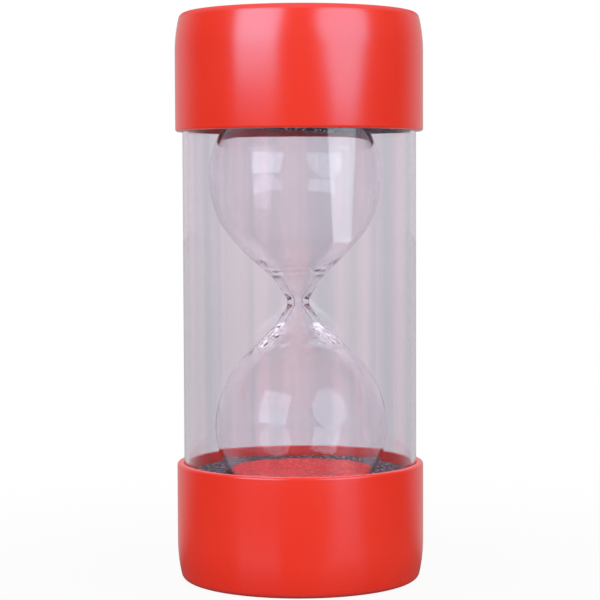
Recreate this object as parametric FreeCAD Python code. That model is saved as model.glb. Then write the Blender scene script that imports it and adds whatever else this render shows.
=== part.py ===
import FreeCAD, Part
import math
import os

Vector = FreeCAD.Vector

# Large classroom sand timer. It is worked out from the inside outwards: the blown glass vessel sets the tube's
# bore and length, and the tube sets the caps. +Z is up, and the origin is the middle of the face it stands on.
# Lengths are in millimetres and angles in degrees.

# Outside of the blown glass vessel. Its two halves are alike, each measured from the middle of the neck.
NECK_DIAMETER = 6.2
NECK_LENGTH = 1.6
NECK_FILLET = 3.0
FUNNEL_DIAMETER = 13.6
FUNNEL_LENGTH = 5.9
FUNNEL_FILLET = 12.0
SHOULDER_DIAMETER = 21.6
SHOULDER_RISE = 3.66
SHOULDER_FILLET = 30.0
CONE_ANGLE = 45.5
BULB_FLANK_RADIUS = 28.4
BULB_DIAMETER = 48.9

# Inside of the glass vessel: the orifice widens to a throat, and that opens as a dish, as the wall thins out.
GLASS_WALL = 1.0
ORIFICE_DIAMETER = 2.0
ORIFICE_LENGTH = 2.8
ORIFICE_FILLET = 3.0
THROAT_DIAMETER = 9.2
THROAT_FILLET = 8.0
DISH_DIAMETER = 23.0
DISH_FILLET = 25.0

# Filling collar on the upper bulb's end, and the rubber plug in it
COLLAR_DIAMETER = 10.0
COLLAR_LENGTH = 3.5
FILL_BORE_DIAMETER = 7.2
PLUG_CLEARANCE = 0.05
PLUG_DEPTH = 6.0
PLUG_HEAD_DIAMETER = 9.0
PLUG_HEAD_THICKNESS = 1.5

# How the vessel sits: it has settled below the middle and leans a little to the left in its foam.
GLASS_SETTLE = 1.4
GLASS_LEAN = 1.2
GLASS_SIDESTEP = 0.45

# Sand in the lower bulb, up to a level surface
SAND_DEPTH = 11.8
SAND_GAP = 0.1

# Clear tube round the vessel
BULB_TO_TUBE = 7.35
TUBE_WALL = 1.2
TUBE_BEVEL = 0.7

# End caps: two equal moulded cups, the upper one turned over
CAP_HEIGHT = 33.2
CAP_WALL = 1.9
CAP_FLOOR = 3.0
CAP_BORE_CLEARANCE = 0.1
CAP_SWELL_RADIUS = 43.0
CAP_SWELL_HEIGHT = 11.0
CAP_EDGE_FILLET = 2.0
CAP_RIM_FILLET = 0.7
CAP_BORE_FILLET = 0.3
CAP_CORNER_FILLET = 2.0
LEDGE_HEIGHT = 8.0
BULB_SINK = 13.34
GLUE_FILM = 0.05

# Foam: a ring round each bulb's end, and a disc that fills the cap behind it
FOAM_RING_THICKNESS = 10.0
FOAM_GRIP = 3.0
LOWER_FOAM_INSET = 2.75
UPPER_FOAM_INSET = 1.4
UPPER_FOAM_SLANT = 3.2
FOAM_EDGE_GAP = 0.3
FOAM_GLASS_GAP = 0.2
FOAM_HOLE_MARGIN = 1.0

# Radii and heights that follow
BULB_RADIUS = BULB_DIAMETER / 2
CONE_LEAN = math.radians(CONE_ANGLE)
FLANK_CENTRE_RADIUS = BULB_RADIUS - BULB_FLANK_RADIUS
FUNNEL_TOP = NECK_LENGTH / 2 + FUNNEL_LENGTH
SHOULDER_TOP = FUNNEL_TOP + SHOULDER_RISE
CONE_TOP_RADIUS = FLANK_CENTRE_RADIUS + BULB_FLANK_RADIUS * math.cos(CONE_LEAN)
CONE_TOP = SHOULDER_TOP + (CONE_TOP_RADIUS - SHOULDER_DIAMETER / 2) / math.tan(CONE_LEAN)
WIDEST = CONE_TOP + BULB_FLANK_RADIUS * math.sin(CONE_LEAN)
POLE = WIDEST + BULB_RADIUS

TUBE_BORE_RADIUS = BULB_RADIUS + BULB_TO_TUBE
TUBE_RADIUS = TUBE_BORE_RADIUS + TUBE_WALL
CAP_BORE_RADIUS = TUBE_RADIUS + CAP_BORE_CLEARANCE
CAP_RADIUS = CAP_BORE_RADIUS + CAP_WALL
FOAM_RADIUS = TUBE_BORE_RADIUS - FOAM_EDGE_GAP
TOTAL_HEIGHT = 2 * (CAP_HEIGHT + POLE - BULB_SINK)
NECK_HEIGHT = TOTAL_HEIGHT / 2 - GLASS_SETTLE

UP = Vector(0, 0, 1)
ORIGIN = Vector(0, 0, 0)


def at(radius, height):
    """Point of an outline, drawn in the half-plane right of the Z axis."""
    return Vector(radius, 0, height)


def unit(vector):
    """Vector of length 1 in the same direction."""
    return vector * (1 / vector.Length)


def line(start, end):
    """Straight edge."""
    return Part.LineSegment(start, end).toShape()


def arc_about(centre, start, end):
    """Edge of an arc of under half a turn about a centre."""
    out, back = start - centre, end - centre
    middle = centre + unit(out + back) * out.Length
    return Part.Arc(start, middle, end).toShape()


def rounded(*corners):
    """Edges of a path through corners (radius, height, fillet). A fillet takes up to half of each side."""
    points = [at(radius, height) for radius, height, _ in corners]
    edges = []
    here = points[0]
    for before, corner, after, (_, _, fillet) in zip(points, points[1:], points[2:], corners[1:]):
        if fillet:
            back, ahead = before - corner, after - corner
            half = back.getAngle(ahead) / 2
            reach = min(fillet / math.tan(half), back.Length / 2, ahead.Length / 2)
            start, end = corner + unit(back) * reach, corner + unit(ahead) * reach
            centre = corner + unit(unit(back) + unit(ahead)) * (reach / math.cos(half))
            edges += [line(here, start), arc_about(centre, start, end)]
            here = end
        else:
            edges.append(line(here, corner))
            here = corner
    edges.append(line(here, points[-1]))
    return edges


def turned(edges):
    """Solid of revolution about Z, from the edges of a closed outline in order."""
    return Part.Face(Part.Wire(edges)).revolve(ORIGIN, UP, 360)


def cylinder(radius, bottom, top):
    """Upright cylinder on the Z axis."""
    return Part.makeCylinder(radius, top - bottom, at(0, bottom))


def turned_over(shape):
    """The same piece at the other end of the timer."""
    return shape.rotated(at(0, TOTAL_HEIGHT / 2), Vector(1, 0, 0), 180)


def downwards(shape):
    """A half of the vessel, which is drawn upwards from the neck, pointing down."""
    return shape.rotated(ORIGIN, Vector(1, 0, 0), 180)


def in_place(shape):
    """A piece drawn about the middle of the neck, leaned and moved to where the vessel sits."""
    leaned = shape.rotated(ORIGIN, Vector(0, 1, 0), -GLASS_LEAN)
    return leaned.translated(Vector(-GLASS_SIDESTEP, 0, NECK_HEIGHT))


def bulb_meridian(inset):
    """Outline of a bulb from the end of its cone to its pole, inset from the glass's outer face.

    Returns the first point, the edges and the last point.
    """
    flank_centre = at(FLANK_CENTRE_RADIUS, WIDEST)
    flank_radius = BULB_FLANK_RADIUS - inset
    cone_end = flank_centre + Vector(math.cos(CONE_LEAN), 0, -math.sin(CONE_LEAN)) * flank_radius
    widest = at(BULB_RADIUS - inset, WIDEST)
    pole = at(0, POLE - inset)
    return cone_end, [arc_about(flank_centre, cone_end, widest), arc_about(at(0, WIDEST), widest, pole)], pole


def bulb_body(inset):
    """Solid within a bulb's outline, closed across the end of its cone."""
    cone_end, edges, pole = bulb_meridian(inset)
    foot = at(0, cone_end.z)
    return turned([line(foot, cone_end), *edges, line(pole, foot)])


def glass_half():
    """Upper half of the glass vessel, with its wall, as one ring-shaped outline turned about the axis."""
    outer_cone_end, outer_bulb, outer_pole = bulb_meridian(0)
    outside = rounded(
        (NECK_DIAMETER / 2, 0, 0),
        (NECK_DIAMETER / 2, NECK_LENGTH / 2, NECK_FILLET),
        (FUNNEL_DIAMETER / 2, FUNNEL_TOP, FUNNEL_FILLET),
        (SHOULDER_DIAMETER / 2, SHOULDER_TOP, SHOULDER_FILLET),
        (outer_cone_end.x, outer_cone_end.z, 0),
    )
    inner_cone_end, inner_bulb, inner_pole = bulb_meridian(GLASS_WALL)
    dish_radius = DISH_DIAMETER / 2
    dish_height = inner_cone_end.z - (inner_cone_end.x - dish_radius) / math.tan(CONE_LEAN)
    inside = rounded(
        (ORIFICE_DIAMETER / 2, 0, 0),
        (ORIFICE_DIAMETER / 2, ORIFICE_LENGTH / 2, ORIFICE_FILLET),
        (THROAT_DIAMETER / 2, FUNNEL_TOP, THROAT_FILLET),
        (dish_radius, dish_height, DISH_FILLET),
        (inner_cone_end.x, inner_cone_end.z, 0),
    )
    across_neck = line(at(NECK_DIAMETER / 2, 0), at(ORIFICE_DIAMETER / 2, 0))
    up_the_wall = line(inner_pole, outer_pole)
    outline = [across_neck, *inside, *inner_bulb, up_the_wall, *reversed(outside + outer_bulb)]
    return turned(outline)


def make_glass_vessel():
    """Two bulbs and a thick neck in one piece, open only at the filling collar."""
    half = glass_half()
    collar = cylinder(COLLAR_DIAMETER / 2, WIDEST, POLE + COLLAR_LENGTH).cut(bulb_body(GLASS_WALL / 2))
    bore = cylinder(FILL_BORE_DIAMETER / 2, WIDEST, POLE + COLLAR_LENGTH)
    upper = half.fuse(collar).cut(bore)
    return in_place(upper.fuse(downwards(half)).removeSplitter())


def make_fill_stopper():
    """Rubber plug in the filling collar, its head resting on the collar's end."""
    collar_end = POLE + COLLAR_LENGTH
    shank = cylinder(FILL_BORE_DIAMETER / 2 - PLUG_CLEARANCE, collar_end - PLUG_DEPTH, collar_end)
    head = cylinder(PLUG_HEAD_DIAMETER / 2, collar_end, collar_end + PLUG_HEAD_THICKNESS)
    return in_place(shank.fuse(head).removeSplitter())


def make_sand():
    """Sand that has run through, filling the end of the lower bulb up to a level surface."""
    heap_space = in_place(downwards(bulb_body(GLASS_WALL + SAND_GAP)))
    surface = NECK_HEIGHT - (POLE - GLASS_WALL) + SAND_DEPTH
    return heap_space.common(cylinder(TUBE_BORE_RADIUS, 0, surface))


def make_clear_tube():
    """Tube that stands on the ledges in both caps, each end bevelled for glue."""
    bottom, top = LEDGE_HEIGHT, TOTAL_HEIGHT - LEDGE_HEIGHT
    corners = [
        at(TUBE_BORE_RADIUS, bottom),
        at(TUBE_RADIUS - TUBE_BEVEL, bottom),
        at(TUBE_RADIUS, bottom + TUBE_BEVEL),
        at(TUBE_RADIUS, top - TUBE_BEVEL),
        at(TUBE_RADIUS - TUBE_BEVEL, top),
        at(TUBE_BORE_RADIUS, top),
    ]
    return turned([line(a, b) for a, b in zip(corners, corners[1:] + corners[:1])])


def make_end_cap():
    """Lower cap: a cup whose wall draws in towards the closed end, with a ledge for the tube inside."""
    swell_centre = at(CAP_RADIUS - CAP_SWELL_RADIUS, CAP_SWELL_HEIGHT)
    drop = CAP_SWELL_HEIGHT - CAP_EDGE_FILLET
    run = math.sqrt((CAP_SWELL_RADIUS - CAP_EDGE_FILLET) ** 2 - drop**2)
    edge_centre = swell_centre + Vector(run, 0, -drop)
    flat_end = at(edge_centre.x, 0)
    swell_start = swell_centre + unit(edge_centre - swell_centre) * CAP_SWELL_RADIUS
    swell_end = at(CAP_RADIUS, CAP_SWELL_HEIGHT)
    wall_and_inside = rounded(
        (CAP_RADIUS, CAP_SWELL_HEIGHT, 0),
        (CAP_RADIUS, CAP_HEIGHT, CAP_RIM_FILLET),
        (CAP_BORE_RADIUS, CAP_HEIGHT, CAP_BORE_FILLET),
        (CAP_BORE_RADIUS, LEDGE_HEIGHT, 0),
        (TUBE_BORE_RADIUS, LEDGE_HEIGHT, 0),
        (TUBE_BORE_RADIUS, CAP_FLOOR, CAP_CORNER_FILLET),
        (0, CAP_FLOOR, 0),
    )
    return turned(
        [
            line(ORIGIN, flat_end),
            arc_about(edge_centre, flat_end, swell_start),
            arc_about(swell_centre, swell_start, swell_end),
            *wall_and_inside,
            line(at(0, CAP_FLOOR), ORIGIN),
        ]
    )


def make_glue_bead():
    """Lower ring of cured glue, which fills the bevel at the tube's end."""
    outer = CAP_BORE_RADIUS - GLUE_FILM
    inner = TUBE_RADIUS - TUBE_BEVEL + GLUE_FILM * math.sqrt(2)
    corners = [at(inner, LEDGE_HEIGHT), at(outer, LEDGE_HEIGHT), at(outer, LEDGE_HEIGHT + outer - inner)]
    return turned([line(a, b) for a, b in zip(corners, corners[1:] + corners[:1])])


def foam_bore_radius(dip):
    """Radius of the hole punched in a ring that a bulb's end dips into, so that the foam grips a band of it."""
    seat_radius = BULB_RADIUS + FOAM_GLASS_GAP
    return math.sqrt(seat_radius**2 - (seat_radius - (dip - FOAM_GRIP)) ** 2)


def make_lower_foam_ring():
    """Ring round the lower bulb's end, its top level."""
    top = CAP_HEIGHT - LOWER_FOAM_INSET
    bottom = top - FOAM_RING_THICKNESS
    bore = foam_bore_radius(BULB_SINK + GLASS_SETTLE - LOWER_FOAM_INSET)
    ring = cylinder(FOAM_RADIUS, bottom, top).cut(cylinder(bore, bottom, top))
    return ring.cut(in_place(downwards(bulb_body(-FOAM_GLASS_GAP))))


def make_upper_foam_ring():
    """Ring round the upper bulb's end, its underside slanting down to the right."""
    underside = TOTAL_HEIGHT - CAP_HEIGHT + UPPER_FOAM_INSET
    top = underside + FOAM_RING_THICKNESS
    lowest = underside - FOAM_RADIUS * math.tan(math.radians(UPPER_FOAM_SLANT))
    bore = foam_bore_radius(BULB_SINK - GLASS_SETTLE - UPPER_FOAM_INSET)
    ring = cylinder(FOAM_RADIUS, lowest, top).cut(cylinder(bore, lowest, top))
    below = cylinder(CAP_RADIUS, -FOAM_RADIUS, 0).rotated(ORIGIN, Vector(0, 1, 0), UPPER_FOAM_SLANT)
    ring = ring.cut(below.translated(at(0, underside)))
    return ring.cut(in_place(bulb_body(-FOAM_GLASS_GAP)))


def foam_disc(thickness):
    """Disc on the lower cap's floor, rounded like the cap's corner with the same gap all along."""
    top = CAP_FLOOR + thickness
    return turned(
        [
            *rounded(
                (0, CAP_FLOOR, 0),
                (FOAM_RADIUS, CAP_FLOOR, CAP_CORNER_FILLET),
                (FOAM_RADIUS, top, 0),
                (0, top, 0),
            ),
            line(at(0, top), at(0, CAP_FLOOR)),
        ]
    )


def make_lower_foam_disc():
    """Cushion under the lower bulb's end, which has sunk into it."""
    disc = foam_disc(CAP_HEIGHT - LOWER_FOAM_INSET - FOAM_RING_THICKNESS - CAP_FLOOR)
    return disc.cut(in_place(downwards(bulb_body(-FOAM_GLASS_GAP))))


def make_upper_foam_disc():
    """Cushion above the upper bulb's end, with a hole for the filling collar and its plug."""
    disc = turned_over(foam_disc(CAP_HEIGHT - UPPER_FOAM_INSET - FOAM_RING_THICKNESS - CAP_FLOOR))
    hole = cylinder(COLLAR_DIAMETER / 2 + FOAM_HOLE_MARGIN, WIDEST, POLE + CAP_HEIGHT)
    return disc.cut(in_place(bulb_body(-FOAM_GLASS_GAP).fuse(hole)))


def main():
    """Build every piece, print its volume and write it."""
    cap = make_end_cap()
    bead = make_glue_bead()
    pieces = {
        "lower_end_cap": cap,
        "upper_end_cap": turned_over(cap),
        "clear_tube": make_clear_tube(),
        "glass_vessel": make_glass_vessel(),
        "fill_stopper": make_fill_stopper(),
        "sand": make_sand(),
        "lower_foam_ring": make_lower_foam_ring(),
        "upper_foam_ring": make_upper_foam_ring(),
        "lower_foam_disc": make_lower_foam_disc(),
        "upper_foam_disc": make_upper_foam_disc(),
        "lower_glue_bead": bead,
        "upper_glue_bead": turned_over(bead),
    }
    os.makedirs("parts", exist_ok=True)
    for name, shape in pieces.items():
        print(f"{name}: solids {len(shape.Solids)}, valid {shape.isValid()}, {shape.Volume / 1000:.3f} cm3")
        shape.exportStep(f"parts/{name}.step")
    print(f"total height {TOTAL_HEIGHT:.2f}, cap diameter {2 * CAP_RADIUS:.2f}, neck at {NECK_HEIGHT:.2f}")


main()
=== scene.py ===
import logging
import math
from collections.abc import Sequence
from dataclasses import dataclass
from enum import Enum

import bpy
from bpy.types import Material, Node, NodeSocket, NodeTree, Object
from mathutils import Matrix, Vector


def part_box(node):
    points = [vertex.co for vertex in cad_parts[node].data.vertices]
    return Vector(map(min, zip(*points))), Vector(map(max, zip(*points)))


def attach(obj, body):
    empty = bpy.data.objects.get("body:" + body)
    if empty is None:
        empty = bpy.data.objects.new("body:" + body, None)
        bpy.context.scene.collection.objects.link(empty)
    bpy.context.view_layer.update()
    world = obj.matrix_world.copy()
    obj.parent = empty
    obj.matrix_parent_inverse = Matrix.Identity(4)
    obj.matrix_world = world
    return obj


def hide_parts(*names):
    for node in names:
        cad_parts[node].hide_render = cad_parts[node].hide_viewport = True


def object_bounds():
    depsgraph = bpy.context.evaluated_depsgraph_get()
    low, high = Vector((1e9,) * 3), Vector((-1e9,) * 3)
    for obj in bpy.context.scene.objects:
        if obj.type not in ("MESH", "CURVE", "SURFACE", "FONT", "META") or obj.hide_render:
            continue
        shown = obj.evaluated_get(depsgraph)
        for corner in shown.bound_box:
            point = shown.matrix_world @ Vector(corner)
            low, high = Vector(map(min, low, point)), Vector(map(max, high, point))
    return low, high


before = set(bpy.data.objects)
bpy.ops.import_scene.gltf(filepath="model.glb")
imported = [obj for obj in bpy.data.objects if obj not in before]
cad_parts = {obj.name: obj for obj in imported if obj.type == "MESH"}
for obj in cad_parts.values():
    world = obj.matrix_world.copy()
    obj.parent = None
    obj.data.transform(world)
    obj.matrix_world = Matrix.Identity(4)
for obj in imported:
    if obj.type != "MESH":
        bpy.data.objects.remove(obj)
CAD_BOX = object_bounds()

# Large classroom sand timer. Sizes are millimetres and angles degrees, and meshes are metres, with +Z up
# and -Y towards the camera. Every piece is round, so each is half an outline that is spun about an upright
# axis.

LOG = logging.getLogger("sand_timer")
MM = 0.001
BODY = "root"
WELD = 1e-6
FILLET_STEP = 15.0
FEWEST_STEPS = 3
AT_LEAST_ONCE = 0.5
Shades = tuple[tuple[float, str], ...]


class Slot(Enum):
    """Names of the material slots. No piece here is given one."""

    CAP_PLASTIC = "cap_plastic"
    CLEAR_PLASTIC = "clear_plastic"
    BLOWN_GLASS = "blown_glass"
    STOPPER_RUBBER = "stopper_rubber"
    RED_SAND = "red_sand"
    GREY_FOAM = "grey_foam"
    CLEAR_GLUE = "clear_glue"


class End(Enum):
    """The two ends of the timer, as the first word of a node's name."""

    LOWER = "lower"
    UPPER = "upper"

    @property
    def sign(self) -> int:
        """Which way the end lies from the timer's middle: 1 is up."""
        return 1 if self is End.UPPER else -1


def span(node: str) -> tuple[Vector, Vector]:
    """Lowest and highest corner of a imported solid, in millimetres."""
    low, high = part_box(node)
    return low / MM, high / MM


def linear(colour: str) -> tuple[float, float, float, float]:
    """Turns an sRGB colour into the linear one that a shader takes.

    Args:
        colour: the colour as hex, such as #E3261B.

    Returns:
        Its linear red, green and blue, and 1 for alpha.
    """
    parts = [int(colour[i : i + 2], 16) / 255 for i in (1, 3, 5)]
    red, green, blue = (c / 12.92 if c <= 0.04045 else ((c + 0.055) / 1.055) ** 2.4 for c in parts)
    return red, green, blue, 1.0


def per_metre(size: float) -> float:
    """Scale of a pattern whose features are that many millimetres across."""
    return 1 / (size * MM)


def add_node(
    tree: NodeTree,
    kind: str,
    inputs: dict[str | int, object] | None = None,
    stops: Shades = (),
    **settings: object,
) -> Node:
    """Adds one shader node with its settings and links.

    Args:
        tree: the node tree that it goes in.
        kind: the node's type after the word ShaderNode, such as Mix.
        inputs: what goes into each input, by name or number: an output socket, a node whose first output
            is meant, or a plain value.
        stops: a colour ramp's stops in order, each with its place from 0 to 1 and its colour.
        settings: the node's own settings.

    Returns:
        The node.
    """
    node = tree.nodes.new(f"ShaderNode{kind}")
    for name, value in settings.items():
        setattr(node, name, value)
    for key, value in (inputs or {}).items():
        source = value.outputs[0] if isinstance(value, Node) else value
        if isinstance(source, NodeSocket):
            tree.links.new(source, node.inputs[key])
        else:
            node.inputs[key].default_value = source
    elements = node.color_ramp.elements if stops else []
    while len(elements) < len(stops):
        elements.new(1.0)
    for element, (place, colour) in zip(elements, stops):
        element.position, element.color = place, linear(colour)
    return node


def blank_material(name: str) -> tuple[Material, NodeTree]:
    """Makes a new material.

    Args:
        name: its name.

    Returns:
        The material and its node tree, which is empty.
    """
    material = bpy.data.materials.new(name)
    material.use_nodes = True
    material.node_tree.nodes.clear()
    return material, material.node_tree


def deselect() -> None:
    """Lets go of every object, because an operator acts on all that is selected."""
    bpy.ops.object.select_all(action="DESELECT")


def pick(piece: Object) -> None:
    """Makes one piece the only selected and the active object.

    Args:
        piece: the piece.
    """
    deselect()
    piece.select_set(True)
    bpy.context.view_layer.objects.active = piece


def settle(piece: Object) -> None:
    """Puts a piece's place and turn into its mesh, so that its object sits at the origin."""
    pick(piece)
    bpy.ops.object.transform_apply(location=True, rotation=True, scale=True)


def soften(piece: Object, crease: float) -> None:
    """Shades a piece smooth, except at edges that are sharper than an angle."""
    pick(piece)
    bpy.ops.object.shade_smooth_by_angle(angle=math.radians(crease))


def arc(centre: Vector, start: Vector, end: Vector, step: float = 6.0) -> list[Vector]:
    """Draws the shorter arc about a centre.

    Args:
        centre: middle of the arc, as (radius, height).
        start: where it begins, which isn't among the points.
        end: where it ends, which is the last point.
        step: largest angle between points.

    Returns:
        The points, in order.
    """
    out = start - centre
    sweep = out.angle_signed(end - centre)
    count = max(FEWEST_STEPS, math.ceil(abs(math.degrees(sweep)) / step))
    points = []
    for i in range(1, count):
        turn = -sweep * i / count
        cosine, sine = math.cos(turn), math.sin(turn)
        points.append(centre + Vector((out.x * cosine - out.y * sine, out.x * sine + out.y * cosine)))
    return [*points, end.copy()]


def rounded(*corners: tuple[float, float, float]) -> list[Vector]:
    """Draws a path with rounded corners.

    Args:
        corners: each corner's radius, height and fillet, which takes up to half of each side. The path
            begins and ends at a corner, and these have no fillet.

    Returns:
        The points, in order.
    """
    places = [Vector(corner[:2]) for corner in corners]
    points = [places[0]]
    for before, corner, after, (_, _, fillet) in zip(places, places[1:], places[2:], corners[1:]):
        if fillet == 0:
            points.append(corner)
            continue
        back, ahead = before - corner, after - corner
        half = back.angle(ahead) / 2
        reach = min(fillet / math.tan(half), back.length / 2, ahead.length / 2)
        start, end = corner + back.normalized() * reach, corner + ahead.normalized() * reach
        middle = (back.normalized() + ahead.normalized()).normalized()
        centre = corner + middle * (reach / math.cos(half))
        points += [start, *arc(centre, start, end, FILLET_STEP)]
    return [*points, places[-1]]


def split(points: Sequence[Vector], longest: float) -> list[Vector]:
    """Adds points to a path.

    Args:
        points: the path.
        longest: how far apart two neighbours may be.

    Returns:
        The same path with the points added.
    """
    result = [points[0]]
    for before, after in zip(points, points[1:]):
        count = max(1, math.ceil((after - before).length / longest))
        result += [before.lerp(after, i / count) for i in range(1, count + 1)]
    return result


def turned(name: str, outline: Sequence[Vector], steps: int) -> Object:
    """Makes a round piece: one vertex is drawn out along half the outline, and the line is spun about Z.

    Args:
        name: the piece's name.
        outline: points (radius, height) in order, which end on the axis or where they began.
        steps: faces round the piece.

    Returns:
        The piece, closed and smooth, with faces that point outwards.
    """
    deselect()
    bpy.ops.mesh.primitive_plane_add(size=MM, location=(outline[0].x * MM, 0, outline[0].y * MM))
    piece = bpy.context.active_object
    piece.name = piece.data.name = name
    bpy.ops.object.mode_set(mode="EDIT")
    bpy.ops.mesh.select_all(action="SELECT")
    bpy.ops.mesh.merge(type="CENTER")
    for before, after in zip(outline, outline[1:]):
        move = (after - before) * MM
        bpy.ops.mesh.extrude_region_move(TRANSFORM_OT_translate={"value": (move.x, 0, move.y)})
    bpy.ops.mesh.select_all(action="SELECT")
    bpy.ops.mesh.spin(steps=steps, angle=math.tau, use_auto_merge=True, center=(0, 0, 0), axis=(0, 0, 1))
    bpy.ops.mesh.select_all(action="SELECT")
    bpy.ops.mesh.remove_doubles(threshold=WELD)
    bpy.ops.mesh.normals_make_consistent(inside=False)
    bpy.ops.object.mode_set(mode="OBJECT")
    settle(piece)
    bpy.ops.object.shade_smooth()
    return piece


def turned_pair(name: str, outline: Sequence[Vector], steps: int) -> dict[End, Object]:
    """Makes a round piece for the lower end, and a copy that is turned over for the upper end.

    Args:
        name: the name of both, which the end's name follows.
        outline: half the outline of the lower one, as turned takes it.
        steps: faces round each.

    Returns:
        The piece of each end, with its own mesh.
    """
    lower = turned(f"{name}_{End.LOWER.value}", outline, steps)
    pick(lower)
    bpy.ops.object.duplicate(linked=False)
    upper = bpy.context.active_object
    upper.name = upper.data.name = f"{name}_{End.UPPER.value}"
    upper.rotation_euler.x = math.pi
    upper.location.z = CAD_BOX[1].z
    settle(upper)
    return {End.LOWER: lower, End.UPPER: upper}


def roughen(piece: Object, kind: str, size: float, depth: float, group: str = "") -> None:
    """Moves a piece's surface in and out by a noise.

    Args:
        piece: what is roughened.
        kind: Blender's name for the noise, such as CLOUDS.
        size: width of its bumps.
        depth: from the lowest to the highest point of the noise.
        group: vertex group that it keeps to, or nothing for the whole piece.
    """
    noise = bpy.data.textures.new(f"{piece.name}_{kind.lower()}", kind)
    noise.noise_scale = size * MM
    displace = piece.modifiers.new("roughen", "DISPLACE")
    displace.texture = noise
    displace.texture_coords = "LOCAL"
    displace.mid_level = 0.5
    displace.strength = depth * MM
    displace.vertex_group = group
    pick(piece)
    bpy.ops.object.modifier_apply(modifier=displace.name)


def finish_piece(piece: Object, material: Material, node: str) -> None:
    """Dresses a piece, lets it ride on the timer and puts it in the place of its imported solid.

    Args:
        piece: the piece.
        material: what it is dressed in.
        node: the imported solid's node.
    """
    piece.data.materials.clear()
    piece.data.materials.append(material)
    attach(piece, BODY)
    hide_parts(node)
    LOG.info("%s: %d faces, %s", piece.name, len(piece.data.polygons), material.name)


class Finish:
    """What all finishes share: a pattern follows the piece's own coordinates, and so stays on it."""

    name: str

    def shade(self, tree: NodeTree, place: NodeSocket) -> dict[str, Node]:
        """Builds the nodes that give the finish its look.

        Args:
            tree: the material's node tree.
            place: a point's own coordinates.

        Returns:
            What goes into each input of the material's output.
        """
        raise NotImplementedError

    def material(self) -> Material:
        """Builds the material.

        Returns:
            The material.
        """
        material, tree = blank_material(self.name)
        place = add_node(tree, "TexCoord").outputs["Object"]
        add_node(tree, "OutputMaterial", self.shade(tree, place))
        return material


@dataclass(frozen=True)
class MouldedAbs(Finish):
    """ABS, injection moulded: one deep red under a soft sheen, and closed ends with a fine matt face.

    The sheen is tinted blue, so that the red pales to pink under it and not to orange, as the real one does.
    """

    name: str = "abs_moulded_satin_red"
    shades: Shades = ((0.35, "#E72604"), (0.75, "#E92C09"))
    sheen: str = "#98E0FF"
    flow: float = 22.0
    smoothest: float = 0.2
    roughest: float = 0.25
    face_roughness: float = 0.55
    face_start: float = 78.2
    face_end: float = 79.4
    middle: float = 80.0
    ior: float = 1.54
    specular: float = 0.97
    grain: float = 0.35
    grain_depth: float = 0.004

    def shade(self, tree: NodeTree, place: NodeSocket) -> dict[str, Node]:
        """Builds faint flow marks, fine grain, and a gloss that ends where a closed face begins.

        Args:
            tree: the material's node tree.
            place: a point's own coordinates.

        Returns:
            What goes into each input of the material's output.
        """
        flow = add_node(tree, "TexNoise", {"Vector": place, "Scale": per_metre(self.flow), "Detail": 3.0})
        colour = add_node(tree, "ValToRGB", {"Fac": flow}, self.shades)
        flank = add_node(tree, "MapRange", {"Value": flow, "To Min": self.smoothest, "To Max": self.roughest})
        rise = add_node(tree, "SeparateXYZ", {0: place}).outputs["Z"]
        above = add_node(tree, "Math", {0: rise, 1: self.middle * MM}, operation="SUBTRACT")
        roughness = add_node(
            tree,
            "MapRange",
            {
                "Value": add_node(tree, "Math", {0: above}, operation="ABSOLUTE"),
                "From Min": self.face_start * MM,
                "From Max": self.face_end * MM,
                "To Min": flank,
                "To Max": self.face_roughness,
            },
            interpolation_type="SMOOTHSTEP",
        )
        grain = add_node(tree, "TexNoise", {"Vector": place, "Scale": per_metre(self.grain), "Detail": 2.0})
        bump = add_node(tree, "Bump", {"Height": grain, "Strength": 0.5, "Distance": self.grain_depth * MM})
        shader = add_node(
            tree,
            "BsdfPrincipled",
            {
                "Base Color": colour,
                "Roughness": roughness,
                "Normal": bump,
                "IOR": self.ior,
                "Specular IOR Level": self.specular,
                "Specular Tint": linear(self.sheen),
            },
        )
        return {"Surface": shader}


class ClearFinish(Finish):
    """What clear finishes share: the body tints what passes, and the lamps reach what it shuts in."""

    absorbed: str
    density: float

    def enclose(self, tree: NodeTree, glass: Node) -> dict[str, Node]:
        """Lets shadow and diffuse rays through as if nothing were there. To the eye it is glass.

        Args:
            tree: the material's node tree.
            glass: its glass shader.

        Returns:
            What goes into each input of the material's output.
        """
        path = add_node(tree, "LightPath").outputs
        rays = {0: path["Is Shadow Ray"], 1: path["Is Diffuse Ray"]}
        passes = add_node(tree, "Math", rays, operation="MAXIMUM")
        clear = add_node(tree, "BsdfTransparent")
        body = {"Color": linear(self.absorbed), "Density": self.density}
        return {
            "Surface": add_node(tree, "MixShader", {0: passes, 1: glass, 2: clear}),
            "Volume": add_node(tree, "VolumeAbsorption", body),
        }


@dataclass(frozen=True)
class ExtrudedAcrylic(ClearFinish):
    """Acrylic tube, extruded: clear with a grey-lilac cast, and faint upright bands left by the die."""

    name: str = "acrylic_extruded_clear"
    shades: Shades = ((0.42, "#F1F0F3"), (0.58, "#F7F3F6"))
    ior: float = 1.49
    band: float = 5.0
    drawn_out: float = 100.0
    absorbed: str = "#E8E4EA"
    density: float = 12.0

    def shade(self, tree: NodeTree, place: NodeSocket) -> dict[str, Node]:
        """Builds the glass with its bands.

        Args:
            tree: the material's node tree.
            place: a point's own coordinates.

        Returns:
            What goes into each input of the material's output.
        """
        drawn = add_node(tree, "Mapping", {"Vector": place, "Scale": (1.0, 1.0, 1 / self.drawn_out)})
        bands = add_node(tree, "TexNoise", {"Vector": drawn, "Scale": per_metre(self.band), "Detail": 2.0})
        colour = add_node(tree, "ValToRGB", {"Fac": bands}, self.shades)
        glass = add_node(tree, "BsdfGlass", {"Color": colour, "Roughness": 0.0, "IOR": self.ior})
        return self.enclose(tree, glass)


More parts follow.
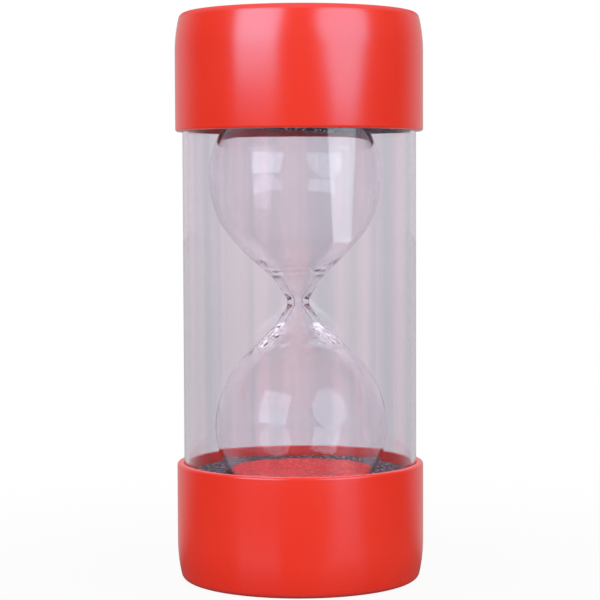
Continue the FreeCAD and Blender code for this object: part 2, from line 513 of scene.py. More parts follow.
@dataclass(frozen=True)
class BlownGlass(ClearFinish):
    """Borosilicate glass, blown at a lamp: water clear, with soft waves where it was worked."""

    name: str = "borosilicate_glass_blown"
    colour: str = "#FFFEFF"
    ior: float = 1.43
    wave: float = 7.0
    wave_depth: float = 0.03
    absorbed: str = "#F0E3E7"
    density: float = 5.0

    def shade(self, tree: NodeTree, place: NodeSocket) -> dict[str, Node]:
        """Builds the glass with its waves.

        Args:
            tree: the material's node tree.
            place: a point's own coordinates.

        Returns:
            What goes into each input of the material's output.
        """
        waves = add_node(tree, "TexNoise", {"Vector": place, "Scale": per_metre(self.wave), "Detail": 1.0})
        bump = add_node(tree, "Bump", {"Height": waves, "Strength": 1.0, "Distance": self.wave_depth * MM})
        look = {"Color": linear(self.colour), "Roughness": 0.0, "IOR": self.ior, "Normal": bump}
        return self.enclose(tree, add_node(tree, "BsdfGlass", look))


@dataclass(frozen=True)
class GrainedFinish(Finish):
    """What sand and foam share: small cells, each with a shade of its own, that stand out or lie deep."""

    name: str
    shades: Shades
    cell: float
    cell_depth: float
    strength: float
    stands_out: bool
    roughness: float
    ior: float

    def shade(self, tree: NodeTree, place: NodeSocket) -> dict[str, Node]:
        """Builds the cells.

        Args:
            tree: the material's node tree.
            place: a point's own coordinates.

        Returns:
            What goes into each input of the material's output.
        """
        cells = add_node(tree, "TexVoronoi", {"Vector": place, "Scale": per_metre(self.cell)}).outputs
        lot = add_node(tree, "SeparateColor", {0: cells["Color"]})
        bump = add_node(
            tree,
            "Bump",
            {"Height": cells["Distance"], "Strength": self.strength, "Distance": self.cell_depth * MM},
            invert=self.stands_out,
        )
        colour = add_node(tree, "ValToRGB", {"Fac": lot}, self.shades)
        look = {"Base Color": colour, "Roughness": self.roughness, "Normal": bump, "IOR": self.ior}
        return {"Surface": add_node(tree, "BsdfPrincipled", look)}


@dataclass(frozen=True)
class DyedSand(GrainedFinish):
    """Quartz sand, sieved and dyed: red grains from pale to dark, each catching the light its own way.

    Real grains are finer than 0.5 mm. These are drawn slightly coarser, so that they show.
    """

    name: str = "quartz_sand_dyed_red"
    shades: Shades = (
        (0.0, "#A00406"),
        (0.3, "#E8090B"),
        (0.75, "#FC1214"),
        (0.93, "#FF3630"),
        (1.0, "#FF8A82"),
    )
    cell: float = 0.55
    cell_depth: float = 0.25
    strength: float = 0.8
    stands_out: bool = True
    roughness: float = 0.55
    ior: float = 1.54


@dataclass(frozen=True)
class SpeckledFoam(GrainedFinish):
    """Polyethylene foam, punched from dark grey sheet: matt, with pale and dark flecks where cells are cut.

    Its cells are drawn slightly coarser than real ones, so that they show.
    """

    name: str = "polyethylene_foam_cut_grey"
    shades: Shades = (
        (0.0, "#0C060A"),
        (0.3, "#2E1B28"),
        (0.7, "#4E3543"),
        (0.86, "#866A7B"),
        (1.0, "#D6BECE"),
    )
    cell: float = 0.65
    cell_depth: float = 0.3
    strength: float = 1.0
    stands_out: bool = False
    roughness: float = 0.9
    ior: float = 1.5


@dataclass(frozen=True)
class CloudedFinish(Finish):
    """What rubber and glue share: two shades that lie in soft clouds."""

    name: str
    shades: Shades
    cloud: float
    detail: float
    roughness: float

    def shade(self, tree: NodeTree, place: NodeSocket) -> dict[str, Node]:
        """Builds the clouds.

        Args:
            tree: the material's node tree.
            place: a point's own coordinates.

        Returns:
            What goes into each input of the material's output.
        """
        pattern = {"Vector": place, "Scale": per_metre(self.cloud), "Detail": self.detail}
        colour = add_node(tree, "ValToRGB", {"Fac": add_node(tree, "TexNoise", pattern)}, self.shades)
        look = {"Base Color": colour, "Roughness": self.roughness}
        return {"Surface": add_node(tree, "BsdfPrincipled", look)}


@dataclass(frozen=True)
class MouldedRubber(CloudedFinish):
    """Grey rubber, press moulded: dull, with a fine powdery bloom."""

    name: str = "rubber_moulded_grey"
    shades: Shades = ((0.35, "#8C857A"), (0.7, "#A39C91"))
    cloud: float = 2.5
    detail: float = 4.0
    roughness: float = 0.7


@dataclass(frozen=True)
class CuredGlue(CloudedFinish):
    """Clear solvent cement, cured in a corner: a glossy, faintly yellow ring with trapped haze."""

    name: str = "solvent_cement_cured"
    shades: Shades = ((0.3, "#EDE9DC"), (0.7, "#DAD4C2"))
    cloud: float = 1.5
    detail: float = 3.0
    roughness: float = 0.15


@dataclass
class EndCaps:
    """The two moulded red cups, which are alike."""

    finish: MouldedAbs
    wall: float = 1.9
    floor: float = 3.0
    ledge_height: float = 8.0
    ledge_width: float = 1.3
    swell_radius: float = 43.0
    swell_height: float = 11.0
    edge_fillet: float = 2.0
    rim_fillet: float = 0.7
    bore_fillet: float = 0.3
    corner_fillet: float = 2.0
    crease: float = 35.0
    steps: int = 192

    def outline(self) -> list[Vector]:
        """Draws half the lower cap, whose wall draws in towards the closed end.

        Returns:
            The points, from the middle of the closed face round to the middle of the floor inside.
        """
        low, high = span("lower_end_cap")
        radius, height = high.x, high.z - low.z
        bore = radius - self.wall
        inside = bore - self.ledge_width
        swell_centre = Vector((radius - self.swell_radius, self.swell_height))
        drop = self.swell_height - self.edge_fillet
        run = math.sqrt((self.swell_radius - self.edge_fillet) ** 2 - drop**2)
        edge_centre = swell_centre + Vector((run, -drop))
        swell_start = swell_centre + (edge_centre - swell_centre).normalized() * self.swell_radius
        flat_end = Vector((edge_centre.x, 0))
        swell_end = Vector((radius, self.swell_height))
        wall = rounded(
            (radius, self.swell_height, 0),
            (radius, height, self.rim_fillet),
            (bore, height, self.bore_fillet),
            (bore, self.ledge_height, 0),
            (inside, self.ledge_height, 0),
            (inside, self.floor, self.corner_fillet),
            (0, self.floor, 0),
        )
        return [
            Vector((0, 0)),
            flat_end,
            *arc(edge_centre, flat_end, swell_start),
            *arc(swell_centre, swell_start, swell_end, step=2),
            *wall[1:],
        ]

    def build(self) -> None:
        """Makes both caps."""
        material = self.finish.material()
        for end, cap in turned_pair("red_cap", self.outline(), self.steps).items():
            soften(cap, self.crease)
            finish_piece(cap, material, f"{end.value}_end_cap")


@dataclass
class ClearTube:
    """The extruded tube between the caps, and the rings of glue in its end bevels."""

    finish: ExtrudedAcrylic
    glue: CuredGlue
    wall: float = 1.2
    bevel: float = 0.7
    film: float = 0.05
    crease: float = 25.0
    steps: int = 256

    def build_tube(self) -> None:
        """Makes the tube."""
        low, high = span("clear_tube")
        radius, bottom, top = high.x, low.z, high.z
        bore = radius - self.wall
        corners = [
            Vector((bore, bottom)),
            Vector((radius - self.bevel, bottom)),
            Vector((radius, bottom + self.bevel)),
            Vector((radius, top - self.bevel)),
            Vector((radius - self.bevel, top)),
            Vector((bore, top)),
            Vector((bore, bottom)),
        ]
        tube = turned("clear_plastic_tube", corners, self.steps)
        soften(tube, self.crease)
        finish_piece(tube, self.finish.material(), "clear_tube")

    def build_glue(self) -> None:
        """Makes the ring of glue at each end, with a film's thickness between it and the tube."""
        low, high = span("lower_glue_bead")
        outer, bottom, top = high.x, low.z, high.z
        inner = span("clear_tube")[1].x - self.bevel + self.film * math.sqrt(2)
        outline = rounded((inner, bottom, 0), (outer, bottom, self.film), (outer, top, 0), (inner, bottom, 0))
        material = self.glue.material()
        for end, ring in turned_pair("glue_ring", outline, self.steps).items():
            finish_piece(ring, material, f"{end.value}_glue_bead")

    def build(self) -> None:
        """Makes the tube and its glue."""
        self.build_tube()
        self.build_glue()


@dataclass
class BulbForm:
    """Form of one bulb, measured up from the middle of the neck, as all that touches the glass needs it."""

    diameter: float = 48.9
    flank_radius: float = 28.4
    cone_angle: float = 45.5
    shoulder_diameter: float = 21.6
    shoulder_top: float = 10.36
    lean: float = 1.2

    @property
    def radius(self) -> float:
        """Largest radius."""
        return self.diameter / 2

    @property
    def flank_centre_radius(self) -> float:
        """Radius at which the flank's arc is centred, which is past the axis."""
        return self.radius - self.flank_radius

    @property
    def widest(self) -> float:
        """Finds where the bulb is widest.

        Returns:
            The height.
        """
        cone = math.radians(self.cone_angle)
        cone_top_radius = self.flank_centre_radius + self.flank_radius * math.cos(cone)
        cone_top = self.shoulder_top + (cone_top_radius - self.shoulder_diameter / 2) / math.tan(cone)
        return cone_top + self.flank_radius * math.sin(cone)

    @property
    def pole(self) -> float:
        """Height of the bulb's end."""
        return self.widest + self.radius

    @property
    def neck_height(self) -> float:
        """Height of the neck's middle above the table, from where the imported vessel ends."""
        low = span("glass_vessel")[0]
        return low.z + self.widest * math.cos(math.radians(self.lean)) + self.radius

    @property
    def sidestep(self) -> float:
        """How far left of the tube's axis the neck's middle is."""
        low = span("glass_vessel")[0]
        return -(low.x + self.widest * math.sin(math.radians(self.lean)) + self.radius)

    def centre(self, end: End) -> Vector:
        """Finds the middle of a bulb.

        Args:
            end: which bulb.

        Returns:
            How far right of the tube's axis and how high above the table it is.
        """
        lean = math.radians(self.lean)
        along = end.sign * self.widest
        return Vector((-self.sidestep - along * math.sin(lean), self.neck_height + along * math.cos(lean)))

    def cone_end(self, inset: float) -> Vector:
        """Finds where the cone turns into the flank.

        Args:
            inset: how far inside the glass's outer face.

        Returns:
            The place, as (radius, height).
        """
        cone = math.radians(self.cone_angle)
        reach = self.flank_radius - inset
        centre = Vector((self.flank_centre_radius, self.widest))
        return centre + Vector((math.cos(cone), -math.sin(cone))) * reach

    def meridian(self, inset: float, last_radius: float) -> list[Vector]:
        """Draws the flank and the round end.

        Args:
            inset: how far inside the glass's outer face.
            last_radius: how far from the axis the line stops.

        Returns:
            The points that follow the cone's end.
        """
        flank_centre = Vector((self.flank_centre_radius, self.widest))
        middle = Vector((0, self.widest))
        reach = self.radius - inset
        widest = middle + Vector((reach, 0))
        last = middle + Vector((last_radius, math.sqrt(reach**2 - last_radius**2)))
        return [
            *arc(flank_centre, self.cone_end(inset), widest, step=3),
            *arc(middle, widest, last, step=3),
        ]


@dataclass
class GlassVessel:
    """The blown vessel: two bulbs, a thick neck, and a filling collar closed by a rubber plug."""

    form: BulbForm
    finish: BlownGlass
    rubber: MouldedRubber
    wall: float = 1.0
    neck_diameter: float = 6.2
    neck_length: float = 1.6
    neck_fillet: float = 3.0
    funnel_diameter: float = 13.6
    funnel_length: float = 5.9
    funnel_fillet: float = 12.0
    shoulder_fillet: float = 30.0
    orifice_diameter: float = 2.0
    orifice_length: float = 2.8
    orifice_fillet: float = 3.0
    throat_diameter: float = 9.2
    throat_fillet: float = 8.0
    dish_diameter: float = 23.0
    dish_fillet: float = 25.0
    collar_diameter: float = 10.0
    collar_length: float = 3.5
    collar_fillet: float = 0.4
    fill_bore: float = 7.2
    plug_clearance: float = 0.05
    plug_depth: float = 6.0
    plug_head_diameter: float = 9.0
    plug_head_thickness: float = 1.5
    plug_fillet: float = 0.3
    ripple_depth: float = 0.045
    ripple_pitch: float = 1.6
    ripple_points: int = 6
    ripple_start: float = 6.5
    ripple_end: float = 12.5
    worked_start: float = 3.0
    worked_end: float = 17.0
    worked_lump: float = 3.2
    worked_depth: float = 0.45
    worked_share_above: float = 0.35
    steps: int = 180
    plug_steps: int = 90

    def neck_outside(self) -> list[Vector]:
        """Draws the outer face from the middle of the neck up to the end of the cone.

        Returns:
            The points, in order.
        """
        cone_end = self.form.cone_end(0)
        return rounded(
            (self.neck_diameter / 2, 0, 0),
            (self.neck_diameter / 2, self.neck_length / 2, self.neck_fillet),
            (self.funnel_diameter / 2, self.neck_length / 2 + self.funnel_length, self.funnel_fillet),
            (self.form.shoulder_diameter / 2, self.form.shoulder_top, self.shoulder_fillet),
            (cone_end.x, cone_end.y, 0),
        )

    def neck_inside(self) -> list[Vector]:
        """Draws the inner face from the middle of the orifice up to the end of the cone.

        Returns:
            The points, in order.
        """
        cone_end = self.form.cone_end(self.wall)
        dish = self.dish_diameter / 2
        dish_height = cone_end.y - (cone_end.x - dish) / math.tan(math.radians(self.form.cone_angle))
        return rounded(
            (self.orifice_diameter / 2, 0, 0),
            (self.orifice_diameter / 2, self.orifice_length / 2, self.orifice_fillet),
            (self.throat_diameter / 2, self.neck_length / 2 + self.funnel_length, self.throat_fillet),
            (dish, dish_height, self.dish_fillet),
            (cone_end.x, cone_end.y, 0),
        )

    def rippled(self, points: list[Vector], depth: float) -> list[Vector]:
        """Puts shallow rings in a path, which the glass gets where it is drawn in at the lamp.

        Args:
            points: the path.
            depth: how far the deepest ring moves it.

        Returns:
            The rippled path, with points of its own.
        """
        fine = [point.copy() for point in points]
        for point in fine:
            along = (point.y - self.ripple_start) / (self.ripple_end - self.ripple_start)
            if 0 < along < 1:
                swell = math.sin(math.pi * along) ** 2
                point.x += depth * swell * math.sin(math.tau * point.y / self.ripple_pitch)
        return fine

    def outline(self) -> list[Vector]:
        """Draws half the whole vessel.

        Returns:
            The points, from the lower end's outside up over the collar and down to the lower end's inside.
        """
        form = self.form
        below = Vector((1, -1))
        finest = self.ripple_pitch / self.ripple_points
        outside = split(self.neck_outside(), finest)
        inside = split(self.neck_inside(), finest)
        lower_outside = [point * below for point in [*outside, *form.meridian(0, 0)]]
        lower_inside = [point * below for point in [*inside, *form.meridian(self.wall, 0)]]
        collar, bore = self.collar_diameter / 2, self.fill_bore / 2
        upper_outside = [*self.rippled(outside, self.ripple_depth / 2), *form.meridian(0, collar)]
        upper_inside = [*self.rippled(inside, self.ripple_depth), *form.meridian(self.wall, bore)]
        rim = form.pole + self.collar_length
        collar_path = rounded(
            (*upper_outside[-1], 0),
            (collar, rim, self.collar_fillet),
            (bore, rim, self.collar_fillet),
            (*upper_inside[-1], 0),
        )
        return [
            *reversed(lower_outside),
            *upper_outside[1:],
            *collar_path[1:],
            *reversed(upper_inside[:-1]),
            *lower_inside[1:],
        ]

    def work_by_hand(self, vessel: Object) -> None:
        """Makes the glass uneven where it was drawn in at the lamp, and most so on the lower shoulder.

        Args:
            vessel: the vessel, with the middle of its neck at the origin.
        """
        worked = vessel.vertex_groups.new(name="worked")
        for vertex in vessel.data.vertices:
            height = vertex.co.z / MM
            along = (abs(height) - self.worked_start) / (self.worked_end - self.worked_start)
            if 0 < along < 1:
                share = self.worked_share_above if height > 0 else 1.0
                worked.add([vertex.index], share * math.sin(math.pi * along) ** 2, "REPLACE")
        roughen(vessel, "CLOUDS", self.worked_lump, self.worked_depth, "worked")
        vessel.vertex_groups.clear()

    def lean_into_place(self, piece: Object) -> None:
        """Leans a piece that was made about the middle of the neck, and moves it to where the vessel sits.

        Args:
            piece: the piece.
        """
        piece.rotation_euler.y = -math.radians(self.form.lean)
        piece.location = (-self.form.sidestep * MM, 0, self.form.neck_height * MM)
        settle(piece)

    def build(self) -> None:
        """Makes the vessel and its plug."""
        vessel = turned("blown_glass_vessel", self.outline(), self.steps)
        self.work_by_hand(vessel)
        self.lean_into_place(vessel)
        finish_piece(vessel, self.finish.material(), "glass_vessel")
        rim = self.form.pole + self.collar_length
        tip, head_top = rim - self.plug_depth, rim + self.plug_head_thickness
        shank, head = self.fill_bore / 2 - self.plug_clearance, self.plug_head_diameter / 2
        half_plug = rounded(
            (0, tip, 0),
            (shank, tip, self.plug_fillet),
            (shank, rim, 0),
            (head, rim, self.plug_fillet / 2),
            (head, head_top, self.plug_fillet),
            (0, head_top, 0),
        )
        plug = turned("rubber_plug", half_plug, self.plug_steps)
        self.lean_into_place(plug)
        finish_piece(plug, self.rubber.material(), "fill_stopper")


@dataclass
class SandFill:
    """The sand that lies in the lower bulb, level on top, with real grains' unevenness in its surface."""

    form: BulbForm
    finish: DyedSand
    glass_wall: float = 1.0
    gap: float = 0.1
    pitch: float = 0.4
    lumps: float = 0.55
    lump_depth: float = 0.28
    steps: int = 256

    def build(self) -> None:
        """Makes the sand about the lower bulb's middle, and moves it there."""
        top = span("sand")[1].z
        centre = self.form.centre(End.LOWER)
        reach = self.form.radius - self.glass_wall - self.gap
        surface = top - self.lump_depth / 2 - centre.y
        bottom, brim = Vector((0, -reach)), Vector((math.sqrt(reach**2 - surface**2), surface))
        flat = split([brim, Vector((0, surface))], self.pitch)
        outline = [bottom, *arc(Vector((0, 0)), bottom, brim, step=4), *flat[1:]]
        sand = turned("sand_heap", outline, self.steps)
        sand.location = (centre.x * MM, 0, centre.y * MM)
        settle(sand)
        inside = (brim.x - self.pitch) * MM
        level = (top - self.lump_depth) * MM
        on_top = [
            vertex.index
            for vertex in sand.data.vertices
            if vertex.co.z > level and math.hypot(vertex.co.x - centre.x * MM, vertex.co.y) < inside
        ]
        sand.vertex_groups.new(name="top").add(on_top, 1.0, "REPLACE")
        roughen(sand, "VORONOI", self.lumps, self.lump_depth, "top")
        sand.vertex_groups.clear()
        finish_piece(sand, self.finish.material(), "sand")


@dataclass
class FoamPacking:
    """Foam in each cap: a ring round the bulb's end, and a cushion behind it.

    Heights are measured from the bulb's middle towards its end.
    """

    form: BulbForm
    finish: SpeckledFoam
    glass_gap: float = 0.2
    cut_fillet: float = 0.5
    slant: float = 3.2
    ring_thickness: float = 10.0
    corner_fillet: float = 2.0
    hole_margin: float = 1.0
    collar_diameter: float = 10.0
    grip: float = 3.0
    unevenness: float = 0.25
    patch: float = 3.0
    mesh_size: float = 1.0
    steps: int = 192

    @property
    def seat(self) -> float:
        """Radius of the hollow that the glass sits in."""
        return self.form.radius + self.glass_gap

    def faces(self, end: End, node: str) -> tuple[float, float, float]:
        """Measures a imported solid.

        Args:
            end: which end it lies at.
            node: its node.

        Returns:
            Its outer radius, and the heights of its near face and its far face.
        """
        low, high = span(node)
        near, far = sorted((face - self.form.centre(end).y) * end.sign for face in (low.z, high.z))
        return high.x, near, far

    def turn_pad(self, end: End, name: str, outline: Sequence[Vector]) -> Object:
        """Turns a pad, and moves it to its bulb.

        Args:
            end: which end it is for.
            name: its name.
            outline: half its outline, as (radius, height), closed.

        Returns:
            The pad.
        """
        flip = Vector((1, end.sign))
        pad = turned(name, [point * flip for point in split(outline, self.mesh_size)], self.steps)
        pad.location.z = self.form.centre(end).y * MM
        settle(pad)
        return pad

    def finish_pad(self, pad: Object, material: Material, node: str) -> None:
        """Dresses a pad, lets it ride on the timer and puts it in the place of its imported solid."""
        finish_piece(pad, material, node)

    def build_ring(self, end: End, material: Material) -> None:
        """Makes a ring round a bulb's end, cut square and pushed over the glass.

        Args:
            end: which end it is for.
            material: what it is dressed in.
        """
        node = f"{end.value}_foam_ring"
        radius, face, back = self.faces(end, node)
        if end is End.UPPER:
            face = back - self.ring_thickness
        dip = self.form.radius - face - self.grip
        hole = math.sqrt(self.seat**2 - (self.seat - dip) ** 2)
        mouth = Vector((math.sqrt(self.seat**2 - face**2), face))
        inner = Vector((hole, math.sqrt(self.seat**2 - hole**2)))
        path = rounded(
            (*mouth, 0),
            (radius, face, self.cut_fillet),
            (radius, back, self.cut_fillet),
            (hole, back, self.cut_fillet),
            (*inner, 0),
        )
        hollow = arc(Vector((0, 0)), inner, mouth, step=2)
        ring = self.turn_pad(end, f"foam_ring_{end.value}", [*path, *hollow])
        if end is End.UPPER:
            self.slant_face(ring, self.form.centre(end).y + face)
        roughen(ring, "CLOUDS", self.patch, self.unevenness)
        self.finish_pad(ring, material, node)

    def slant_face(self, ring: Object, height: float) -> None:
        """Tips the showing face down to the right, as far as the ring was pushed in askew.

        Args:
            ring: the ring.
            height: how high above the table that face is.
        """
        slope = math.tan(math.radians(self.slant))
        for vertex in ring.data.vertices:
            along = (vertex.co.z - height * MM) / (self.ring_thickness * MM)
            vertex.co.z -= vertex.co.x * slope * (1 - min(1.0, max(0.0, along)))

    def build_cushion(self, end: End, material: Material) -> None:
        """Makes the cushion behind a ring, with a hole for the vessel's collar at the upper end.

        Args:
            end: which end it is for.
            material: what it is dressed in.
        """
        node = f"{end.value}_foam_disc"
        radius, face, back = self.faces(end, node)
        hole = self.collar_diameter / 2 + self.hole_margin if end is End.UPPER else 0.0
        mouth = Vector((math.sqrt(self.seat**2 - face**2), face))
        bottom = Vector((hole, math.sqrt(self.seat**2 - hole**2)))
        path = rounded(
            (*mouth, 0),
            (radius, face, self.cut_fillet),
            (radius, back, self.corner_fillet),
            (hole, back, 0),
            (*bottom, 0),
        )
        hollow = arc(Vector((0, 0)), bottom, mouth, step=3)
        cushion = self.turn_pad(end, f"foam_cushion_{end.value}", [*path, *hollow])
        self.finish_pad(cushion, material, node)

    def build(self) -> None:
        """Makes both rings and both cushions."""
        material = self.finish.material()
        for end in End:
            self.build_ring(end, material)
            self.build_cushion(end, material)


@dataclass
class Softbox:
    """A lamp with a plain lit face that is turned to the timer. The glass mirrors its shape.

    Fields: name, how many sides its face has, azimuth to the right of the camera, height of its middle,
    width and height of its face, distance along the table, its colour, how bright it is as a light, and how
    bright its face looks in a gloss or a glass.
    """

    name: str
    sides: int
    azimuth: float
    rise: float
    width: float
    height: float
    distance: float = 1100.0
    colour: str = "#DFF6FA"
    light: float = 4.1
    shine: float = 3.45

    def material(self) -> Material:
        """Builds the lit face, which doesn't show from behind.

        Returns:
            The material.
        """
        material, tree = blank_material(f"{self.name}_face")
        back = add_node(tree, "NewGeometry").outputs["Backfacing"]
        mirrored = add_node(tree, "LightPath").outputs["Is Glossy Ray"]
        level = add_node(tree, "MapRange", {"Value": mirrored, "To Min": self.light, "To Max": self.shine})
        glow = add_node(tree, "Emission", {"Color": linear(self.colour), "Strength": level})
        clear = add_node(tree, "BsdfTransparent")
        face = add_node(tree, "MixShader", {0: back, 1: glow, 2: clear})
        add_node(tree, "OutputMaterial", {"Surface": face})
        return material

    def build(self, aim: Vector) -> None:
        """Hangs the lamp and points it at the timer.

        Args:
            aim: the place that it points at, in metres.
        """
        deselect()
        turn = math.pi / self.sides
        radius = 0.5 / math.cos(turn)
        bpy.ops.mesh.primitive_circle_add(vertices=self.sides, radius=radius, fill_type="NGON")
        face = bpy.context.active_object
        face.name = self.name
        face.rotation_euler.z = turn
        bpy.ops.object.transform_apply(rotation=True)
        face.scale = (self.width * MM, self.height * MM, 1)
        bpy.ops.object.transform_apply(scale=True)
        angle = math.radians(self.azimuth)
        place = Vector((math.sin(angle) * self.distance, -math.cos(angle) * self.distance, self.rise)) * MM
        face.location = place
        face.rotation_euler = (aim - place).to_track_quat("Z", "Y").to_euler()
        face.visible_camera = False
        face.visible_shadow = False
        face.data.materials.append(self.material())


@dataclass(frozen=True)
class LitPart:
    """A bright round part of the room, as a surface mirrors it.

    Fields: how bright it is in a surface that lies open, and in one within the tube or the vessel, half the
    angle that it covers, and how far its soft edge reaches to either side of that.
    """

    level: float
    in_glass: float
    half_angle: float
    blend: float


@dataclass
class Studio:
    """Camera, lamps, pale floor and surroundings.

    The background is white to the eye. In a mirroring surface it is bright behind the timer and overhead,
    and the room in front is dim, as the caps and the glass show it in the photograph.
    """

    camera_distance: float = 567.9
    camera_height: float = 109.4
    camera_right: float = 0.18
    pitch: float = 3.056
    roll: float = 0.2
    lens: float = 120.1
    sensor: float = 36.0
    aim_height: float = 80.0
    horizon: float = 0.68
    zenith: float = 1.05
    white: float = 1.0
    room: float = 0.1
    room_in_glass: float = 0.4
    backdrop: LitPart = LitPart(level=0.6, in_glass=0.95, half_angle=59.0, blend=20.0)
    overhead: LitPart = LitPart(level=0.5, in_glass=2.2, half_angle=32.0, blend=12.0)
    overhead_tilt: float = 40.0
    floor_size: float = 8000.0
    floor_colour: str = "#A8A8A8"
    floor_shadow_reach: float = 260.0
    floor_shadow_share: float = 0.06
    # Painted shade: how bright the floor's glow is next to the timer, where a gloss or a glass sees it.
    near_floor_painted_shade: float = 0.93
    far_floor_distance: float = 2500.0
    floor_ior: float = 1.4
    floor_gloss: float = 0.08
    floor_sheen: float = 0.5
    bounces: int = 24
    diffuse_bounces: int = 4

    def build_camera(self) -> None:
        """Makes the camera at the photograph's angle."""
        data = bpy.data.cameras.new("portrait_camera")
        data.lens, data.sensor_width = self.lens, self.sensor
        camera = bpy.data.objects.new("portrait_camera", data)
        camera.location = Vector((self.camera_right, -self.camera_distance, self.camera_height)) * MM
        camera.rotation_euler = (math.radians(90 - self.pitch), math.radians(self.roll), 0)
        bpy.context.scene.collection.objects.link(camera)
        bpy.context.scene.camera = camera

    def sees_white(self, tree: NodeTree) -> Node:
        """Tells the rays by which the eye, a gloss or a glass sees the background from the rest.

        Args:
            tree: the node tree that it goes in.

        Returns:
            1 for such a ray, and 0 for any other.
        """
        path = add_node(tree, "LightPath").outputs
        rays = {0: path["Is Glossy Ray"], 1: path["Is Transmission Ray"]}
        sent_on = add_node(tree, "Math", rays, operation="MAXIMUM")
        return add_node(tree, "Math", {0: path["Is Camera Ray"], 1: sent_on}, operation="MAXIMUM")

    def was_mirrored(self, tree: NodeTree) -> Node:
        """1 for a ray that a glossy face has sent on, and 0 for one that came straight or through glass."""
        depth = add_node(tree, "LightPath").outputs["Glossy Depth"]
        return add_node(tree, "Math", {0: depth, 1: AT_LEAST_ONCE}, operation="GREATER_THAN")

    def mirrored_level(self, tree: NodeTree, level: float, in_glass: float) -> Node:
        """Chooses how bright a part of the room is in a mirroring surface.

        Args:
            tree: the node tree that it goes in.
            level: how bright it is in a surface that lies open.
            in_glass: how bright it is where the ray has been through glass.

        Returns:
            The one that holds for the ray.
        """
        depth = add_node(tree, "LightPath").outputs["Transmission Depth"]
        inside = add_node(tree, "Math", {0: depth, 1: AT_LEAST_ONCE}, operation="GREATER_THAN")
        return add_node(tree, "Mix", {"Factor": inside, "A": level, "B": in_glass})

    def mirrored_part(self, tree: NodeTree, part: LitPart, nearness: NodeSocket) -> Node:
        """Makes a bright part of the mirrored room stand out from the rest of it.

        Args:
            tree: the node tree that it goes in.
            part: the bright part.
            nearness: cosine of the angle from its middle.

        Returns:
            How bright the room is in that direction.
        """
        return add_node(
            tree,
            "MapRange",
            {
                "Value": nearness,
                "From Min": math.cos(math.radians(part.half_angle + part.blend)),
                "From Max": math.cos(math.radians(part.half_angle - part.blend)),
                "To Min": self.mirrored_level(tree, self.room, self.room_in_glass),
                "To Max": self.mirrored_level(tree, part.level, part.in_glass),
            },
            interpolation_type="SMOOTHSTEP",
        )

    def background_level(self, tree: NodeTree, direction: NodeSocket) -> Node:
        """Makes the background's brightness: white, and in a mirroring surface that of the room.

        Args:
            tree: the node tree that it goes in.
            direction: where it lies from the timer, of any length.

        Returns:
            The brightness, where 1 is white.
        """
        towards = add_node(tree, "VectorMath", {0: direction}, operation="NORMALIZE")
        back = add_node(tree, "SeparateXYZ", {0: towards}).outputs["Y"]
        tilt = math.radians(self.overhead_tilt)
        up = {0: towards, 1: (0.0, math.sin(tilt), math.cos(tilt))}
        over = add_node(tree, "VectorMath", up, operation="DOT_PRODUCT").outputs["Value"]
        behind = self.mirrored_part(tree, self.backdrop, back)
        above = self.mirrored_part(tree, self.overhead, over)
        room = add_node(tree, "Math", {0: behind, 1: above}, operation="MAXIMUM")
        return add_node(tree, "Mix", {"Factor": self.was_mirrored(tree), "A": self.white, "B": room})

    def build_surroundings(self) -> None:
        """Makes a world that is white to look at, and lights the timer plainly and most from above."""
        world = bpy.data.worlds.new("studio_world")
        bpy.context.scene.world = world
        world.use_nodes = True
        tree = world.node_tree
        tree.nodes.clear()
        direction = add_node(tree, "TexCoord").outputs["Generated"]
        rise = add_node(tree, "SeparateXYZ", {0: direction}).outputs["Z"]
        sky = add_node(tree, "MapRange", {"Value": rise, "To Min": self.horizon, "To Max": self.zenith})
        plain, white = (
            add_node(tree, "Background", {"Color": linear("#FFFFFF"), "Strength": level})
            for level in (sky, self.background_level(tree, direction))
        )
        mix = add_node(tree, "MixShader", {0: self.sees_white(tree), 1: plain, 2: white})
        add_node(tree, "OutputWorld", {"Surface": mix})

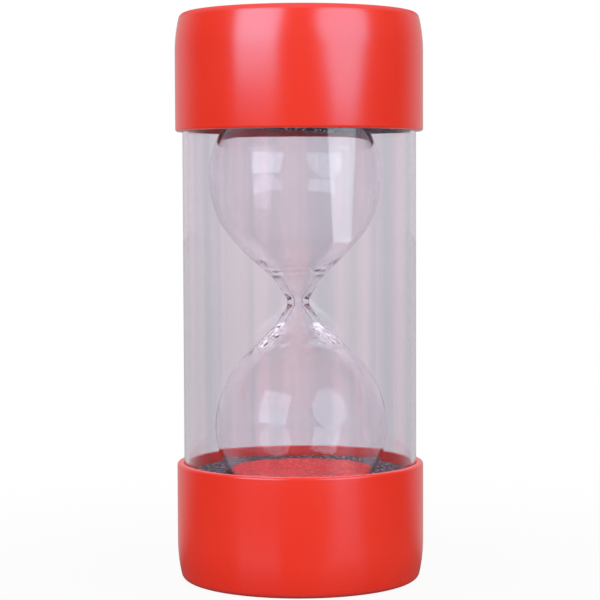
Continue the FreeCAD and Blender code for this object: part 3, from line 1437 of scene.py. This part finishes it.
    def floor_material(self) -> Material:
        """Builds matt paper, white to the eye, with a light shadow by the timer and a faint mirror image.

        Returns:
            The material.
        """
        material, tree = blank_material("paper_sweep_matt")
        place = add_node(tree, "TexCoord").outputs["Object"]
        away = add_node(tree, "VectorMath", {0: place}, operation="LENGTH").outputs["Value"]
        # Painted shade: where a gloss or a glass sees the floor, its glow is painted darker towards the
        # timer. The eye sees it white.
        far = {"Value": away, "To Min": self.near_floor_painted_shade, "From Max": self.far_floor_distance * MM}
        direct = add_node(tree, "LightPath").outputs["Is Camera Ray"]
        through = {"Factor": direct, "A": add_node(tree, "MapRange", far), "B": self.white}
        levels = {0: self.background_level(tree, place), 1: add_node(tree, "Mix", through)}
        level = add_node(tree, "Math", levels, operation="MULTIPLY")
        glow = add_node(tree, "Emission", {"Color": linear("#FFFFFF"), "Strength": level})
        unshaded = add_node(
            tree,
            "MapRange",
            {
                "Value": away,
                "From Max": self.floor_shadow_reach * MM,
                "To Min": 1 - self.floor_shadow_share,
                "To Max": 1.0,
            },
            interpolation_type="SMOOTHSTEP",
        )
        share = add_node(tree, "Math", {0: self.sees_white(tree), 1: unshaded}, operation="MULTIPLY")
        paper = add_node(tree, "BsdfDiffuse", {"Color": linear(self.floor_colour)})
        lit = add_node(tree, "MixShader", {0: share, 1: paper, 2: glow})
        slant = add_node(tree, "Fresnel", {"IOR": self.floor_ior})
        faint = add_node(tree, "Math", {0: slant, 1: self.floor_sheen}, operation="MULTIPLY")
        sheen = add_node(tree, "Math", {0: faint, 1: self.was_mirrored(tree)}, operation="MULTIPLY")
        gloss = add_node(tree, "BsdfGlossy", {"Roughness": self.floor_gloss})
        surface = add_node(tree, "MixShader", {0: sheen, 1: lit, 2: gloss})
        add_node(tree, "OutputMaterial", {"Surface": surface})
        return material

    def build_floor(self) -> None:
        """Lays the pale floor."""
        deselect()
        bpy.ops.mesh.primitive_plane_add(size=self.floor_size * MM)
        floor = bpy.context.active_object
        floor.name = "studio_floor"
        floor.data.materials.append(self.floor_material())

    def build_lamps(self) -> None:
        """Hangs a square softbox on the left and a round one on the right, as the glass mirrors them."""
        left = Softbox(
            "softbox_left", sides=4, azimuth=-39.3, rise=542, width=870, height=760, light=5.1, shine=4.5
        )
        right = Softbox("softbox_right", sides=8, azimuth=41.8, rise=511, width=1000, height=957)
        for lamp in (left, right):
            lamp.build(Vector((0, 0, self.aim_height * MM)))

    def set_render(self) -> None:
        """Sets plain colours, and enough bounces for light to cross both glasses."""
        scene = bpy.context.scene
        scene.view_settings.view_transform = "Standard"
        scene.cycles.max_bounces = self.bounces
        scene.cycles.transmission_bounces = self.bounces
        scene.cycles.transparent_max_bounces = self.bounces
        scene.cycles.glossy_bounces = self.bounces
        scene.cycles.diffuse_bounces = self.diffuse_bounces
        scene.cycles.caustics_reflective = False
        scene.cycles.caustics_refractive = False

    def build(self) -> None:
        """Sets the whole studio up."""
        self.build_camera()
        self.build_surroundings()
        self.build_floor()
        self.build_lamps()
        self.set_render()
        LOG.info("studio ready")


def main() -> None:
    """Builds the studio and the timer, from its caps inwards."""
    logging.basicConfig(level=logging.INFO, format="%(name)s %(message)s")
    form = BulbForm()
    Studio().build()
    EndCaps(MouldedAbs()).build()
    ClearTube(ExtrudedAcrylic(), CuredGlue()).build()
    GlassVessel(form, BlownGlass(), MouldedRubber()).build()
    SandFill(form, DyedSand()).build()
    FoamPacking(form, SpeckledFoam()).build()


if __name__ == "__main__":
    main()
